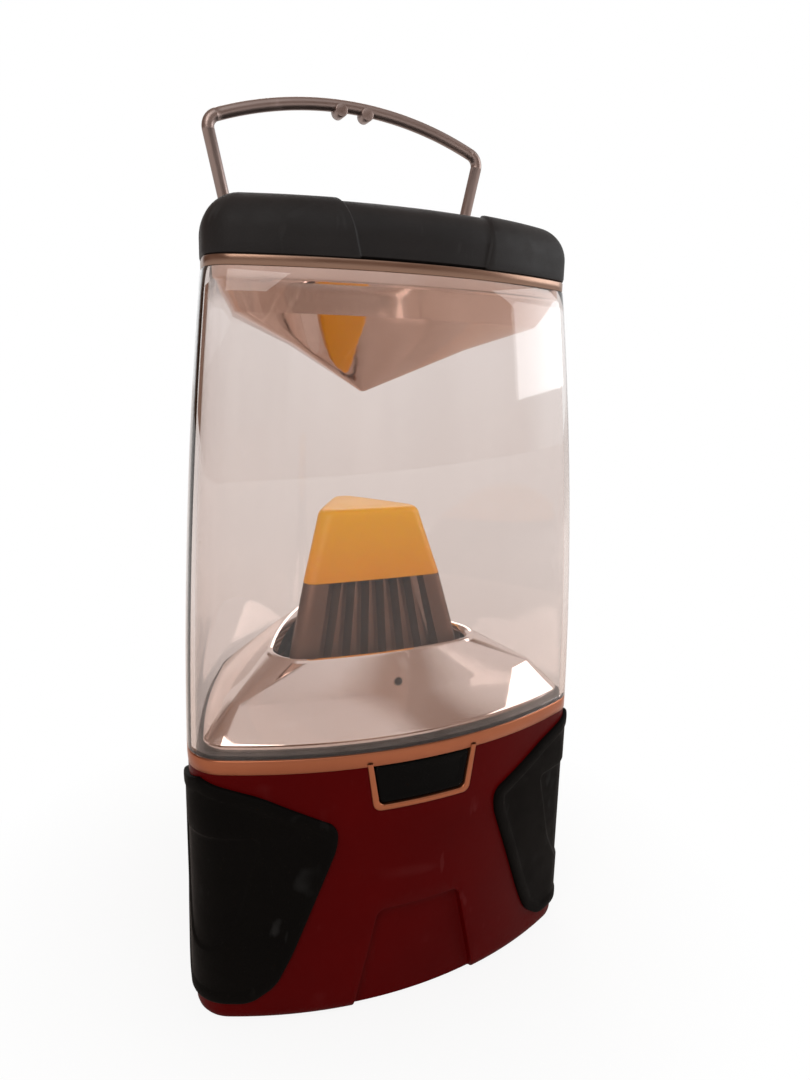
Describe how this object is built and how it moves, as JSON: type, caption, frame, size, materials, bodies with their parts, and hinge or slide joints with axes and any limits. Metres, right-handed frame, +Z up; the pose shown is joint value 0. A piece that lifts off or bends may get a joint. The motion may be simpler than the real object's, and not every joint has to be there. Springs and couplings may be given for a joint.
{
  "type": "camping lantern",
  "caption": "Three-sided battery camping lantern: clear lens, two mirror reflectors, finned light post, wire bail, push button and a bottom battery door with pull ring.",
  "frame": {"origin": "centre of the bounding box at the level of the feet", "axes": "+Z up through the body, -Y towards the front side with the power button, +X to the right seen from the front"},
  "size_m": [0.1542, 0.15, 0.3245],
  "materials": {
    "red_shell": "satin moulded, light scuffs",
    "bronze_trim": "satin metallic lacquer",
    "soft_black": "soft-touch, fine grain",
    "black_plastic": "fine texture",
    "button_plastic": "semi-gloss",
    "clear_lens": "clear, faint haze and scratches",
    "mirror_chrome": "vacuum-metallised mirror",
    "sink_metal": "die-cast, brown-grey",
    "amber_cover": "translucent amber",
    "bail_steel": "satin plated wire",
    "screw_steel": "zinc plated",
    "contact_nickel": "nickel plated",
    "brass_parts": "plain",
    "circuit_green": "solder mask",
    "component_black": "moulded",
    "led_phosphor": "smooth",
    "wire_red": "insulation",
    "seal_rubber": "smooth",
    "cell_jacket": "printed jacket without wording"
  },
  "bodies": {
    "lantern": {"base_housing": "red_shell", "base_trim": "bronze_trim", "tact_switch": "component_black", "switch_board": "circuit_green", "switch_wires": "wire_red", "corner_pad_right": "soft_black", "corner_pad_rear": "soft_black", "corner_pad_left": "soft_black", "rubber_feet": "soft_black", "housing_screws": "screw_steel", "top_deck": "black_plastic", "lens_seal": "seal_rubber", "lens": "clear_lens", "cap_seal": "seal_rubber", "upper_trim": "bronze_trim", "top_plate": "black_plastic", "cap_screws": "screw_steel", "top_cap": "soft_black", "bail_brackets": "black_plastic", "bracket_screws": "screw_steel", "upper_reflector": "mirror_chrome", "lower_reflector": "mirror_chrome", "reflector_screws": "screw_steel", "indicator_led": "component_black", "heat_sink": "sink_metal", "sink_screws": "screw_steel", "led_board": "circuit_green", "led_chips": "led_phosphor", "diffuser_cap": "amber_cover", "led_wires": "wire_red", "battery_well": "black_plastic", "well_screws": "screw_steel", "bolt_insert": "brass_parts", "driver_board": "circuit_green", "driver_parts": "component_black", "contact_leaves": "brass_parts"},
    "bail": {"bail": "bail_steel", "bail_stops": "bail_steel"},
    "power_button": {"power_button": "button_plastic", "switch_plunger": "component_black"},
    "battery_door": {"battery_door": "red_shell", "door_gasket": "seal_rubber", "carrier_base": "black_plastic", "carrier_tube": "black_plastic", "carrier_top": "black_plastic", "lower_contacts": "contact_nickel", "cell_springs": "contact_nickel", "upper_contacts": "contact_nickel", "d_cell_1": "cell_jacket", "d_cell_2": "cell_jacket", "d_cell_3": "cell_jacket", "d_cell_4": "cell_jacket"},
    "door_bolt": {"door_bolt": "screw_steel", "bolt_clip": "screw_steel"},
    "d_ring": {"d_ring": "screw_steel"}
  },
  "joints": [
    {"name": "bail_hinge", "type": "hinge", "parent": "lantern", "child": "bail", "pos_m": [0, 0.00145, 0.2723], "axis": [1, 0, 0], "range_deg": [0, 68]},
    {"name": "button_press", "type": "slide", "parent": "lantern", "child": "power_button", "axis": [0, 1, 0], "range_m": [0, 0.0012], "stiffness_N_per_m": 800, "springref_m": -0.0012},
    {"name": "door_slide", "type": "slide", "parent": "lantern", "child": "battery_door", "axis": [0, 0, -1], "range_m": [0, 0.1]},
    {"name": "bolt_turn", "type": "hinge", "parent": "battery_door", "child": "door_bolt", "pos_m": [0, -0.01155, 0.0075], "axis": [0, 0, 1], "continuous": true},
    {"name": "ring_fold", "type": "hinge", "parent": "door_bolt", "child": "d_ring", "pos_m": [0, -0.00795, 0.0026], "axis": [1, 0, 0], "range_deg": [0, 95]}
  ]
}
